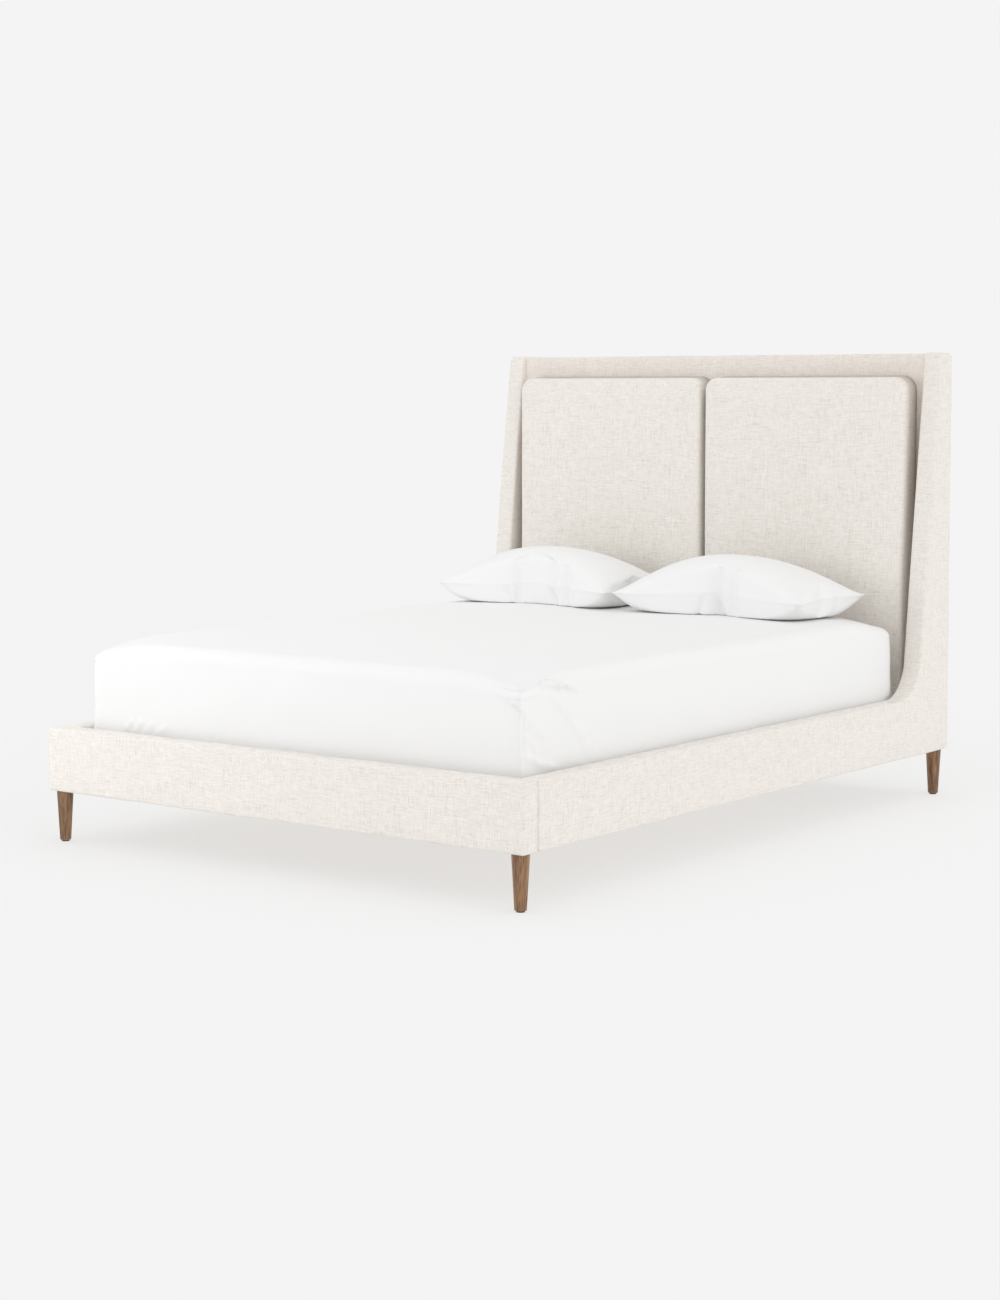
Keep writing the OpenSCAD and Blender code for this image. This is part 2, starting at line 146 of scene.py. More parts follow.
def studio():
    scene = bpy.context.scene
    scene.view_settings.view_transform = "Standard"
    world = bpy.data.worlds.new("studio")
    scene.world = world
    world.use_nodes = True
    back = world.node_tree.nodes["Background"]
    back.inputs["Color"].default_value = (*[BACKDROP] * 3, 1)
    back.inputs["Strength"].default_value = 1.0
    bpy.ops.mesh.primitive_plane_add(size=FLOOR_SIZE, location=(0, 0, 0))
    floor = bpy.context.object
    floor.name = "studio_floor"
    floor_paint = bpy.data.materials.new("studio_floor")
    floor_paint.use_nodes = True
    shader = floor_paint.node_tree.nodes["Principled BSDF"]
    shader.inputs["Base Color"].default_value = (*[FLOOR_SHADE] * 3, 1)
    shader.inputs["Roughness"].default_value = 1.0
    shader.inputs["Specular IOR Level"].default_value = 0.0
    shader.inputs["Emission Color"].default_value = (1, 1, 1, 1)
    shader.inputs["Emission Strength"].default_value = FLOOR_GLOW
    floor.data.materials.append(floor_paint)
    wide_light("right", (1.0, -0.15, 0.18), 0.62, 60)
    soft_box("left_box", (-2.6, -3.4, 1.5), (-0.6, -1.1, 0.3), 1.6, 32, floor)


# ---- ways of working ----
def only(piece):
    if bpy.context.mode != "OBJECT":
        bpy.ops.object.mode_set(mode="OBJECT")
    bpy.ops.object.select_all(action="DESELECT")
    piece.select_set(True)
    bpy.context.view_layer.objects.active = piece


def edit(piece):
    only(piece)
    bpy.ops.object.mode_set(mode="EDIT")
    bpy.ops.mesh.select_mode(type="VERT")
    bpy.ops.mesh.select_all(action="SELECT")


def done():
    bpy.ops.object.mode_set(mode="OBJECT")


def block(name, low, high):
    bpy.ops.object.select_all(action="DESELECT")
    low = Vector(low)
    high = Vector(high)
    bpy.ops.mesh.primitive_cube_add(size=1, location=(low + high) / 2)
    piece = bpy.context.object
    piece.name = name
    piece.scale = high - low
    bpy.ops.object.transform_apply(location=True, rotation=True, scale=True)
    return piece


def pick_faces(piece, wanted):
    bpy.ops.mesh.select_mode(type="FACE")
    bpy.ops.mesh.select_all(action="DESELECT")
    mesh = bmesh.from_edit_mesh(piece.data)
    for face in mesh.faces:
        if wanted(face.calc_center_median(), face.normal):
            face.select_set(True)
    bmesh.update_edit_mesh(piece.data)


def pick_edges(piece, wanted):
    bpy.ops.mesh.select_mode(type="EDGE")
    bpy.ops.mesh.select_all(action="DESELECT")
    mesh = bmesh.from_edit_mesh(piece.data)
    for edge in mesh.edges:
        if wanted(edge.verts[0].co, edge.verts[1].co):
            edge.select_set(True)
    bmesh.update_edit_mesh(piece.data)


def pick_faces_on(piece, corners):
    """Picks the faces whose points all have an index among the corners."""
    bpy.ops.mesh.select_mode(type="FACE")
    bpy.ops.mesh.select_all(action="DESELECT")
    mesh = bmesh.from_edit_mesh(piece.data)
    for face in mesh.faces:
        if all(corner.index in corners for corner in face.verts):
            face.select_set(True)
    bmesh.update_edit_mesh(piece.data)


def pick_points(piece, wanted):
    bpy.ops.mesh.select_mode(type="VERT")
    bpy.ops.mesh.select_all(action="DESELECT")
    mesh = bmesh.from_edit_mesh(piece.data)
    for point in mesh.verts:
        if wanted(point.co):
            point.select_set(True)
    bmesh.update_edit_mesh(piece.data)


def slice_at(axis, place):
    bpy.ops.mesh.select_mode(type="VERT")
    bpy.ops.mesh.select_all(action="SELECT")
    point = [0, 0, 0]
    point[axis] = place
    across = [0, 0, 0]
    across[axis] = 1
    bpy.ops.mesh.bisect(plane_co=point, plane_no=across)


def slice_up(axis, low, high, pitch):
    count = max(1, round((high - low) / pitch))
    for i in range(1, count):
        slice_at(axis, low + (high - low) * i / count)


def near(a, b, gap=0.0005):
    return abs(a - b) < gap


def bevel_picked(radius, steps):
    bpy.ops.mesh.bevel(
        offset=radius,
        offset_type="OFFSET",
        segments=steps,
        profile=0.5,
        affect="EDGES",
    )


def round_edges(radius, steps):
    bpy.ops.mesh.select_mode(type="EDGE")
    bpy.ops.mesh.select_all(action="DESELECT")
    bpy.ops.mesh.edges_select_sharp(sharpness=math.radians(30))
    bevel_picked(radius, steps)


def apply_all(piece):
    only(piece)
    for modifier in list(piece.modifiers):
        bpy.ops.object.modifier_apply(modifier=modifier.name)


def wall(piece, thickness, even=True):
    only(piece)
    shell = piece.modifiers.new("wall", "SOLIDIFY")
    shell.thickness = thickness
    shell.offset = -1
    shell.use_even_offset = even
    apply_all(piece)


def smooth(piece, angle=40):
    only(piece)
    bpy.ops.object.shade_smooth_by_angle(angle=math.radians(angle))


def wave(place, size):
    return noise.noise(Vector(place) / size)


def undulate(piece, depth, size, outside=None):
    """Gives cloth over wadding its slight unevenness."""
    for point in piece.data.vertices:
        if outside is None or outside(point.co, point.normal):
            point.co += point.normal * depth * wave(point.co + Vector((3.1, 7.7, 1.3)), size)


def dress(piece, finish):
    piece.data.materials.clear()
    piece.data.materials.append(finish)


# ---- finishes ----
class Finish:
    """A material and a short way of adding nodes to it."""

    def __init__(self, name, roughness, colour=(0.8, 0.8, 0.8)):
        self.made = bpy.data.materials.new(name)
        self.made.use_nodes = True
        self.tree = self.made.node_tree
        self.shader = self.tree.nodes["Principled BSDF"]
        self.set("Roughness", roughness)
        self.set("Base Color", (*colour, 1))
        coords = self.tree.nodes.new("ShaderNodeTexCoord")
        self.place = coords.outputs["Object"]

    def set(self, socket, value):
        self.shader.inputs[socket].default_value = value

    def link(self, a, b):
        self.tree.links.new(a, b)

    def stretched(self, scale, turn=(0, 0, 0)):
        mapping = self.tree.nodes.new("ShaderNodeMapping")
        mapping.inputs["Scale"].default_value = scale
        mapping.inputs["Rotation"].default_value = turn
        self.link(self.place, mapping.inputs["Vector"])
        return mapping.outputs["Vector"]

    def noise(self, scale, detail=2.0, rough=0.5, twist=0.0):
        cloud = self.tree.nodes.new("ShaderNodeTexNoise")
        cloud.inputs["Scale"].default_value = 1
        cloud.inputs["Detail"].default_value = detail
        cloud.inputs["Roughness"].default_value = rough
        cloud.inputs["Distortion"].default_value = twist
        self.link(self.stretched(scale), cloud.inputs["Vector"])
        return cloud.outputs["Fac"]

    def math(self, work, a, b):
        node = self.tree.nodes.new("ShaderNodeMath")
        node.operation = work
        for value, socket in zip((a, b), node.inputs):
            if isinstance(value, (int, float)):
                socket.default_value = value
            else:
                self.link(value, socket)
        return node.outputs["Value"]

    def blend(self, a, part_a, b, part_b):
        """The sum of two values, each times its part."""
        return self.math("ADD", self.math("MULTIPLY", a, part_a), self.math("MULTIPLY", b, part_b))

    def ramp(self, factor, stops):
        node = self.tree.nodes.new("ShaderNodeValToRGB")
        marks = node.color_ramp.elements
        while len(marks) < len(stops):
            marks.new(0.5)
        for mark, (at, colour) in zip(marks, stops):
            mark.position = at
            mark.color = (*colour, 1)
        self.link(factor, node.inputs["Fac"])
        return node.outputs["Color"]

    def mix(self, factor, a, b, way="MIX"):
        node = self.tree.nodes.new("ShaderNodeMix")
        node.data_type = "RGBA"
        node.blend_type = way
        for value, socket in ((factor, node.inputs[0]), (a, node.inputs[6]), (b, node.inputs[7])):
            if isinstance(value, (int, float)):
                socket.default_value = value
            elif isinstance(value, tuple):
                socket.default_value = (*value, 1)
            else:
                self.link(value, socket)
        return node.outputs[2]

    def colour(self, value):
        self.link(value, self.shader.inputs["Base Color"])

    def painted_shade_amount(self, axis, start, stop):
        """How much painted shade to mix in: 0 up to the start, and from there rising to
        MOST_PAINTED_SHADE at the stop, along one axis.
        """
        split = self.tree.nodes.new("ShaderNodeSeparateXYZ")
        self.link(self.place, split.inputs["Vector"])
        span = self.tree.nodes.new("ShaderNodeMapRange")
        span.inputs["From Min"].default_value = start
        span.inputs["From Max"].default_value = stop
        span.inputs["To Max"].default_value = MOST_PAINTED_SHADE
        self.link(split.outputs[axis], span.inputs["Value"])
        return span.outputs["Result"]

    def bump(self, height, depth, strength=1.0):
        node = self.tree.nodes.new("ShaderNodeBump")
        node.inputs["Distance"].default_value = depth
        node.inputs["Strength"].default_value = strength
        self.link(height, node.inputs["Height"])
        self.link(node.outputs["Normal"], self.shader.inputs["Normal"])


def linen(name, light, dark, slub, painted_shade_span=None):
    """Slubby plain weave: threads run level and upright on every face.

    A painted_shade_span is (axis, place where the painted shade starts to darken the cloth, place where
    it is darkest): shade painted into the cloth's colour where it lies in shade.
    """
    cloth = Finish(name, 0.92)
    level = cloth.noise((42, 42, 500), 3, 0.6)
    upright = cloth.noise((500, 500, 42), 3, 0.6)
    level_slub = cloth.noise((20, 20, 260), 2, 0.55)
    upright_slub = cloth.noise((260, 260, 20), 2, 0.55)
    cloud = cloth.noise((2.4, 2.4, 2.4), 3, 0.6)
    weave = cloth.blend(level, 0.5, upright, 0.5)
    tone = cloth.ramp(weave, [(0.33, dark), (0.60, light)])
    slubs = cloth.blend(level_slub, 0.5, upright_slub, 0.5)
    slub_mark = cloth.ramp(slubs, [(0.53, (0, 0, 0)), (0.68, (1, 1, 1))])
    with_slubs = cloth.mix(cloth.math("MULTIPLY", slub_mark, 0.48), tone, slub)
    tinted = cloth.mix(cloth.math("MULTIPLY", cloud, 0.14), with_slubs, dark)
    # painted shade: the colour is mixed towards a dark brown where the cloth lies in shade
    if painted_shade_span:
        tinted = cloth.mix(cloth.painted_shade_amount(*painted_shade_span), tinted, SHADE_COLOUR_IN_RECESSES)
    cloth.colour(tinted)
    cloth.set("Sheen Weight", 0.15)
    cloth.set("Sheen Roughness", 0.5)
    cloth.set("Specular IOR Level", 0.15)
    fine_level = cloth.noise((90, 90, 1300), 1, 0.5)
    fine_upright = cloth.noise((1300, 1300, 90), 1, 0.5)
    threads = cloth.math("ADD", cloth.math("ADD", fine_level, fine_upright), weave)
    cloth.bump(threads, 0.0008, 0.5)
    return cloth.made


def cotton(name, shade, depth=0.0003):
    cloth = Finish(name, 0.75, shade)
    threads = cloth.math("ADD", cloth.noise((60, 900, 900), 1), cloth.noise((900, 60, 900), 1))
    cloud = cloth.noise((3, 3, 3), 2)
    dim = tuple(c * 0.965 for c in shade)
    cloth.colour(cloth.mix(cloth.math("MULTIPLY", cloud, 0.5), shade, dim))
    cloth.set("Sheen Weight", 0.15)
    cloth.set("Specular IOR Level", 0.25)
    cloth.bump(threads, depth, 0.35)
    return cloth.made


def wood(name, light, dark, along, roughness=0.5, pore=0.0004):
    """Grain that runs along one axis."""
    grain_scale = [26, 26, 26]
    grain_scale[along] = 1.6
    fine_scale = [260, 260, 260]
    fine_scale[along] = 9
    timber = Finish(name, roughness)
    bands = timber.noise(grain_scale, 4, 0.6, 0.8)
    pores = timber.noise(fine_scale, 3, 0.6)
    figure = timber.blend(bands, 0.62, pores, 0.38)
    timber.colour(timber.ramp(figure, [(0.36, dark), (0.62, light)]))
    timber.bump(pores, pore, 0.4)
    return timber.made


def leg_wood():
    """Walnut with its grain upright."""
    timber = Finish("leg_wood", 0.45)
    bands = timber.noise((55, 55, 3.2), 4, 0.65, 0.9)
    pores = timber.noise((520, 520, 16), 3, 0.6)
    figure = timber.blend(bands, 0.55, pores, 0.45)
    timber.colour(timber.ramp(figure, [(0.38, WALNUT_DARK), (0.50, WALNUT), (0.61, WALNUT_LIGHT)]))
    timber.set("Coat Weight", 0.12)
    timber.set("Coat Roughness", 0.35)
    timber.bump(pores, 0.0004, 0.5)
    return timber.made


def metal(name, colour, roughness):
    plate = Finish(name, roughness, colour)
    plate.set("Metallic", 1.0)
    brushed = plate.noise((60, 60, 900), 2)
    dim = tuple(c * 0.82 for c in colour)
    plate.colour(plate.mix(brushed, colour, dim))
    plate.bump(brushed, 0.0001, 0.3)
    return plate.made


def plastic(name, colour):
    moulded = Finish(name, 0.5, colour)
    grain = moulded.noise((900, 900, 900), 2)
    moulded.colour(moulded.mix(grain, colour, tuple(c * 1.5 for c in colour)))
    moulded.bump(grain, 0.0001, 0.4)
    return moulded.made


def foam(name, colour):
    block_foam = Finish(name, 0.95, colour)
    cells = block_foam.noise((420, 420, 420), 3)
    block_foam.colour(block_foam.mix(cells, colour, tuple(c * 0.8 for c in colour)))
    block_foam.bump(cells, 0.001, 0.6)
    return block_foam.made


LINEN_LIGHT = (0.93, 0.895, 0.845)
LINEN_DARK = (0.74, 0.69, 0.63)
LINEN_SLUB = (0.60, 0.55, 0.49)
# the headboard's linen is the same linen painted darker and warmer: painted shade and warm bounced light
# between the wings
HEAD_LINEN_LIGHT_SHADED = (0.905, 0.853, 0.797)
HEAD_LINEN_DARK_SHADED = (0.72, 0.655, 0.593)
# painted shade: the dark colour mixed into the linen where it lies in shade behind and beside the
# panels, and the most of it mixed in
SHADE_COLOUR_IN_RECESSES = (0.20, 0.145, 0.105)
MOST_PAINTED_SHADE = 0.85
WALNUT_DARK = (0.062, 0.026, 0.010)
WALNUT = (0.215, 0.110, 0.048)
WALNUT_LIGHT = (0.36, 0.20, 0.098)


# ---- linen covers over boards ----
def side_cover(right):
    """The cover of a side panel, which is rail and wing in one."""
    name = "side_cover_right" if right else "side_cover_left"
    low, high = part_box(name)
    out = 1 if right else -1
    inner = low.x if right else high.x
    wing_y = high.y - WING_TOP_DEPTH - (high.z - RAIL_TOP) * WING_SLOPE
    piece = block(name + "_linen", low, (high.x, high.y, RAIL_TOP))
    edit(piece)
    slice_at(1, wing_y)
    pick_faces(piece, lambda c, n: n.z > 0.9 and c.y > wing_y)
    bpy.ops.mesh.extrude_region_move(TRANSFORM_OT_translate={"value": (0, 0, high.z - RAIL_TOP)})
    pick_points(piece, lambda c: near(c.z, high.z) and near(c.y, wing_y))
    bpy.ops.transform.translate(value=(0, (high.z - RAIL_TOP) * WING_SLOPE, 0))
    pick_edges(piece, lambda a, b: all(near(p.z, RAIL_TOP) and near(p.y, wing_y) for p in (a, b)))
    turn = (math.pi / 2 - math.atan(WING_SLOPE)) / 2
    bevel_picked(WING_RADIUS * math.tan(turn), 16)
    round_edges(EDGE_RADIUS, 3)
    slice_at(2, FLAP)
    slice_at(1, TUCK)
    slice_up(1, low.y + OFF_EDGE, high.y - OFF_EDGE, CLOTH_CELL)
    slice_up(2, RAIL_TOP + 0.02, high.z - OFF_EDGE, CLOTH_CELL)
    slice_up(2, low.z + OFF_EDGE, RAIL_TOP - OFF_ROUNDING, CLOTH_CELL)
    pick_faces(
        piece,
        lambda c, n: n.x * out < -0.9 and near(c.x, inner) and (c.z < FLAP or c.y > TUCK),
    )
    bpy.ops.mesh.delete(type="FACE")
    done()
    undulate(piece, RAIL_WAVE, RAIL_WAVE_SIZE, lambda c, n: abs(c.x - inner) > 0.01)
    pad_wing(piece, low, high, out)
    wall(piece, LINEN)
    smooth(piece)
    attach(piece, "frame")
    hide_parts(name)
    return piece


def pad_wing(piece, low, high, out):
    """Domes the wing's top and swells its outer side, where the wadding is thick."""
    middle = (low.x + high.x) / 2
    half = (high.x - low.x) / 2
    for point in piece.data.vertices:
        co = point.co
        across = (co.x - middle) / half
        back = min(1, max(0, (co.y - high.y + 0.40) / 0.20))
        if co.z > high.z - EDGE_RADIUS - 0.001:
            co.z += WING_DOME * (1 - across ** 2)
            co.z -= WING_DROP * max(0, across * out) ** 4
        if across * out > 0.5:
            inside = min(1, (high.z - co.z) / 0.05, (high.y - co.y) / 0.05)
            co.x += out * WING_SWELL * back * max(0, inside)


def foot_cover():
    """The cover of the foot rail, which is wrapped round both front corners."""
    low, high = FOOT_LOW, FOOT_HIGH
    piece = block("foot_rail_linen", low, high)
    edit(piece)
    round_edges(EDGE_RADIUS, 3)
    slice_at(2, FLAP)
    slice_at(0, low.x + CORNER_WRAP)
    slice_at(0, high.x - CORNER_WRAP)
    slice_up(0, low.x + 0.06, high.x - 0.06, CLOTH_CELL)
    slice_up(2, low.z + OFF_EDGE, high.z - OFF_ROUNDING, CLOTH_CELL)
    pick_faces(piece, lambda c, n: n.y > 0.9 and c.z < FLAP and abs(c.x) < high.x - CORNER_WRAP)
    bpy.ops.mesh.delete(type="FACE")
    done()
    undulate(piece, RAIL_WAVE, RAIL_WAVE_SIZE, lambda c, n: n.y < 0.5)
    wall(piece, LINEN)
    smooth(piece)
    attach(piece, "frame")
    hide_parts("foot_rail_cover")
    return piece


def headboard_cover():
    """The linen on the headboard's front and top, with a hem down the back."""
    low, high = HEAD_LOW, HEAD_HIGH
    piece = block("headboard_linen", low, high)
    edit(piece)
    pick_edges(piece, lambda a, b: near(a.z, high.z) and near(b.z, high.z) and near(a.y, b.y))
    bevel_picked(EDGE_RADIUS, 3)
    slice_up(0, low.x, high.x, HEAD_CELL)
    slice_up(2, low.z, high.z - OFF_ROUNDING, HEAD_CELL)
    slice_at(2, high.z - HEAD_HEM)
    pick_faces(piece, lambda c, n: n.y > 0.9 and c.z < high.z - HEAD_HEM or abs(n.x) > 0.9)
    bpy.ops.mesh.delete(type="FACE")
    done()
    undulate(piece, HEAD_WAVE, HEAD_WAVE_SIZE, lambda c, n: n.y < 0.5)
    wall(piece, LINEN)
    smooth(piece)
    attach(piece, "frame")
    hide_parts("headboard_cover")
    return piece


# ---- padded panels ----
def padded_panel(right):
    """A padded panel: its cover with the foam inside, puffed out from the board behind it."""
    side = "right" if right else "left"
    low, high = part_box("panel_cover_" + side)
    slack = PANEL_SLACK
    front_low = low + Vector((slack, slack, slack))
    back_high = high - Vector((slack, 0, slack))
    piece = block("padded_panel_" + side, front_low, back_high)
    edit(piece)
    pick_edges(piece, lambda a, b: near(a.x, b.x) and near(a.z, b.z))
    bevel_picked(PANEL_CORNER, 8)
    pick_edges(piece, lambda a, b: near(a.y, low.y + slack) and near(b.y, low.y + slack))
    bevel_picked(PANEL_ROLL, 4)
    slice_up(0, low.x + 0.02, high.x - 0.02, PANEL_CELL)
    slice_up(2, low.z + 0.02, high.z - 0.02, PANEL_CELL)
    slice_up(1, low.y + PANEL_ROLL, high.y, PANEL_CELL)
    done()
    held = piece.vertex_groups.new(name="held")
    back = [p.index for p in piece.data.vertices if p.co.y > high.y - PANEL_HELD]
    held.add(back, 1, "REPLACE")
    inflate(piece, PANEL_FILL_FRAMES, PANEL_FILL, PANEL_FILL_CAP, "held")
    for point in piece.data.vertices:
        depth = (high.y - point.co.y) / (high.y - low.y)
        point.co.y += 0.0015 * depth * wave(point.co, 0.14)
    smooth(piece, 50)
    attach(piece, "frame")
    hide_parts("panel_cover_" + side, "panel_foam_" + side)
    return piece


# ---- bedding ----
MATTRESS_LOW, MATTRESS_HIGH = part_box("fitted_sheet")
SHOULDER = 0.036
CORNER_SHARPNESS = 0.55
CROWN = 0.009
CORNER_FALL = 0.028
BESIDE_FACE = 0.06
FOLD_STRENGTH = 1.35
SEAM_RISE = 0.0045
SEAM_WIDTH = 0.0034
SEAM_DIP = 0.0030
SEAM_DIP_WIDTH = 0.0040

# folds on the sheet by the near corner: the line a fold follows, as points of (distance round the
# corner, height above the floor), then how far the fold stands out, and its width
CORNER_FOLDS = [
    ([(0.018, 0.505), (0.045, 0.462), (0.068, 0.436), (0.10, 0.420)], 0.0050, 0.0065),
    ([(0.018, 0.470), (0.042, 0.445), (0.066, 0.424)], 0.0036, 0.0055),
    ([(0.020, 0.436), (0.050, 0.405), (0.076, 0.378)], 0.0046, 0.0070),
    ([(0.018, 0.380), (0.066, 0.357), (0.110, 0.345), (0.160, 0.334)], 0.0070, 0.0080),
    (
        [(0.120, 0.545), (0.150, 0.513), (0.192, 0.485), (0.237, 0.436), (0.278, 0.397), (0.292, 0.350)],
        0.0050,
        0.0120,
    ),
    ([(0.200, 0.500), (0.232, 0.462), (0.262, 0.400), (0.270, 0.350)], -0.0026, 0.0130),
    ([(0.075, 0.566), (0.110, 0.562), (0.148, 0.554), (0.202, 0.540), (0.255, 0.520)], 0.0075, 0.0060),
    ([(0.090, 0.552), (0.148, 0.542), (0.200, 0.526)], -0.0035, 0.0060),
    ([(0.182, 0.375), (0.186, 0.330)], 0.0040, 0.0050),
    ([(0.205, 0.372), (0.210, 0.330)], 0.0034, 0.0050),
    ([(0.226, 0.380), (0.232, 0.330)], 0.0030, 0.0050),
    ([(0.252, 0.372), (0.258, 0.330)], 0.0034, 0.0050),
    ([(0.310, 0.380), (0.318, 0.330)], 0.0036, 0.0060),
    ([(0.345, 0.370), (0.352, 0.330)], 0.0028, 0.0060),
]
CORNER_SEAM = [
    (-0.055, 0.536),
    (-0.030, 0.525),
    (-0.008, 0.513),
    (0.006, 0.490),
    (0.008, 0.450),
    (0.008, 0.262),
]
# small folds low on the foot end, written the same way, with the distance from the far corner
FAR_FOLDS = [
    ([(0.135, 0.330), (0.165, 0.362)], 0.0066, 0.0070),
    ([(0.170, 0.326), (0.205, 0.366)], 0.0072, 0.0070),
    ([(0.215, 0.326), (0.245, 0.360)], 0.0066, 0.0070),
    ([(0.260, 0.330), (0.300, 0.355)], 0.0050, 0.0080),
]


def closeness(p, path, width):
    """1 on the path and falling to 0 away from it; thinner towards its ends."""
    best = 0.0
    steps = len(path) - 1
    for i in range(steps):
        ax, ay = path[i]
        bx, by = path[i + 1]
        dx = bx - ax
        dy = by - ay
        along = ((p[0] - ax) * dx + (p[1] - ay) * dy) / (dx * dx + dy * dy)
        along = min(1, max(0, along))
        gap = math.hypot(p[0] - ax - along * dx, p[1] - ay - along * dy)
        if gap < 3 * width:
            whole = (i + along) / steps
            taper = min(1, 0.25 + 4 * min(whole, 1 - whole))
            best = max(best, taper * math.exp(-((gap / width) ** 2)))
    return best


def edge_gap(point):
    """How far a point is from the mattress's nearest side and from its nearest end."""
    across = min(point[0] - MATTRESS_LOW.x, MATTRESS_HIGH.x - point[0])
    along = min(point[1] - MATTRESS_LOW.y, MATTRESS_HIGH.y - point[1])
    return max(0, across), max(0, along)


def crown(point):
    """How far the mattress's top stands above its plain box."""
    across, along = edge_gap(point)
    inner = (1 - math.exp(-across / 0.14)) * (1 - math.exp(-along / 0.14))
    corner = math.exp(-((across / 0.12) ** 2) - (along / 0.12) ** 2)
    return CROWN * inner - CORNER_FALL * corner + 0.0022 * wave((point[0], point[1], 0.4), 0.33)


def slice_rows(axis, marks):
    """Cuts at (place, pitch) marks: from each mark to the next in steps of about the pitch."""
    for (start, pitch), (stop, _) in zip(marks, marks[1:]):
        slice_at(axis, stop)
        slice_up(axis, start, stop, pitch)


def soften_block(piece, low, high):
    """Rounds a sliced block's upright corners and its top edge."""
    for point in piece.data.vertices:
        co = point.co
        reach = []
        for i in (0, 1):
            if co[i] < low[i] + SHOULDER:
                reach.append(co[i] - low[i] - SHOULDER)
            elif co[i] > high[i] - SHOULDER:
                reach.append(co[i] - high[i] + SHOULDER)
            else:
                reach.append(0.0)
        flat = Vector((reach[0], reach[1], 0))
        far = max(abs(reach[0]), abs(reach[1]))
        if far < 1e-6:
            continue
        squareness = CORNER_SHARPNESS + (1 - CORNER_SHARPNESS) * far / flat.length
        up = max(0, co.z - high.z + SHOULDER)
        core = co - flat - Vector((0, 0, up))
        tighter = 1.0
        if up > 0:
            tighter = max(far, up) / math.hypot(far, up)
        co.x = core.x + flat.x * squareness * tighter
        co.y = core.y + flat.y * squareness * tighter
        co.z = core.z + up * tighter


def shape_mattress(piece, folded):
    """Crowns the top, bellies the sides, and adds the folds if the piece is folded."""
    low = MATTRESS_LOW
    high = MATTRESS_HIGH
    tall = high.z - low.z
    for point in piece.data.vertices:
        co = point.co
        up = (co.z - low.z) / tall
        flat = Vector((point.normal.x, point.normal.y, 0))
        lift = crown(co) * up ** 3
        side = flat.length
        if side > 0.3 and up > 0.02:
            belly = 0.004 * math.sin(math.pi * up) + 0.006 * math.exp(-(((up - 0.2) / 0.15) ** 2))
            loose = 0.0045 * wave((co.x, co.y, co.z * 0.7), 0.24) + 0.0018 * wave(co, 0.09)
            co += flat * (belly + loose)
        if folded and point.normal.z > -0.5:
            crumple(point, low, high)
        co.z += lift


def crumple(point, low, high):
    """Moves a point of the sheet out by the folds and the corner seam that are close to it."""
    co = point.co
    near_gap = (co.y - low.y) - (high.x - co.x)
    out = point.normal.copy()
    move = 0.0
    beside_corner = high.x - co.x < BESIDE_FACE or co.y - low.y < BESIDE_FACE
    if -0.12 < near_gap < 0.5 and beside_corner:
        here = (near_gap, co.z)
        for path, height, width in CORNER_FOLDS:
            move += FOLD_STRENGTH * height * closeness(here, path, width)
        move += SEAM_RISE * closeness(here, CORNER_SEAM, SEAM_WIDTH)
        move -= SEAM_DIP * closeness((here[0] - 0.008, here[1]), CORNER_SEAM, SEAM_DIP_WIDTH)
    if co.y - low.y < BESIDE_FACE and co.x - low.x < 0.4:
        here = (co.x - low.x, co.z)
        for path, height, width in FAR_FOLDS:
            move += height * closeness(here, path, width)
    co += out * move


def mattress():
    """The mattress in its ticking, a little smaller than the sheet round it."""
    low = MATTRESS_LOW + Vector([TICK_INSET] * 3)
    high = MATTRESS_HIGH - Vector([TICK_INSET] * 3)
    piece = block("mattress_body", low, high)
    edit(piece)
    for axis in (0, 1):
        start = low[axis]
        stop = high[axis]
        slice_rows(axis, [(start, 0.012), (start + SHOULDER, 0.05), (stop - SHOULDER, 0.012), (stop, 0)])
    slice_rows(2, [(low.z, 0.05), (high.z - SHOULDER, 0.012), (high.z, 0)])
    done()
    soften_block(piece, low, high)
    shape_mattress(piece, False)
    smooth(piece, 50)
    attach(piece, "mattress")
    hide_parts("mattress")
    return piece


def fitted_sheet():
    """The sheet over the mattress, cut finest where the folds are, with its hem turned under."""
    low = MATTRESS_LOW
    high = MATTRESS_HIGH
    piece = block("sheet", low, high)
    edit(piece)
    slice_rows(
        0,
        [
            (low.x, 0.010),
            (low.x + SHEET_HEM, 0.030),
            (low.x + 0.12, 0.009),
            (low.x + 0.31, 0.040),
            (high.x - 0.12, 0.015),
            (high.x - SHEET_HEM, 0.006),
            (high.x, 0),
        ],
    )
    slice_rows(
        1,
        [
            (low.y, 0.006),
            (low.y + SHEET_HEM, 0.007),
            (low.y + 0.36, 0.040),
            (high.y - SHEET_HEM, 0.010),
            (high.y, 0),
        ],
    )
    slice_rows(2, [(low.z, 0.02), (low.z + 0.06, 0.007), (high.z - SHOULDER, 0.007), (high.z, 0)])
    pick_faces(
        piece,
        lambda c, n: n.z < -0.9
        and low.x + SHEET_HEM < c.x < high.x - SHEET_HEM
        and low.y + SHEET_HEM < c.y < high.y - SHEET_HEM,
    )
    bpy.ops.mesh.delete(type="FACE")
    done()
    soften_block(piece, low, high)
    shape_mattress(piece, True)
    wall(piece, SHEET, False)
    smooth(piece, 75)
    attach(piece, "mattress")
    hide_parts("fitted_sheet")
    return piece


PILLOW_FLAT = (0.762, 0.508)
PILLOW_CELL = 0.011
PILLOW_SEAM = 0.650
PILLOW_WELT = 0.0022
PILLOW_START = 0.045
PILLOW_FILL = 3.0
PILLOW_FILL_FRAMES = 36
PILLOW_EDGE = 0.005
PILLOW_INSET = 0.004
PILLOW_HANG = 0.150
CREASE_WIDTH = 0.008
# creases under the front seam: place along it, lean to the right as it goes down, depth
PILLOW_CREASES = {
    "left": [(0.34, 0.45, 0.005), (0.58, 0.60, 0.007)],
    "right": [(0.44, -0.40, 0.008), (0.47, 0.60, 0.007)],
}


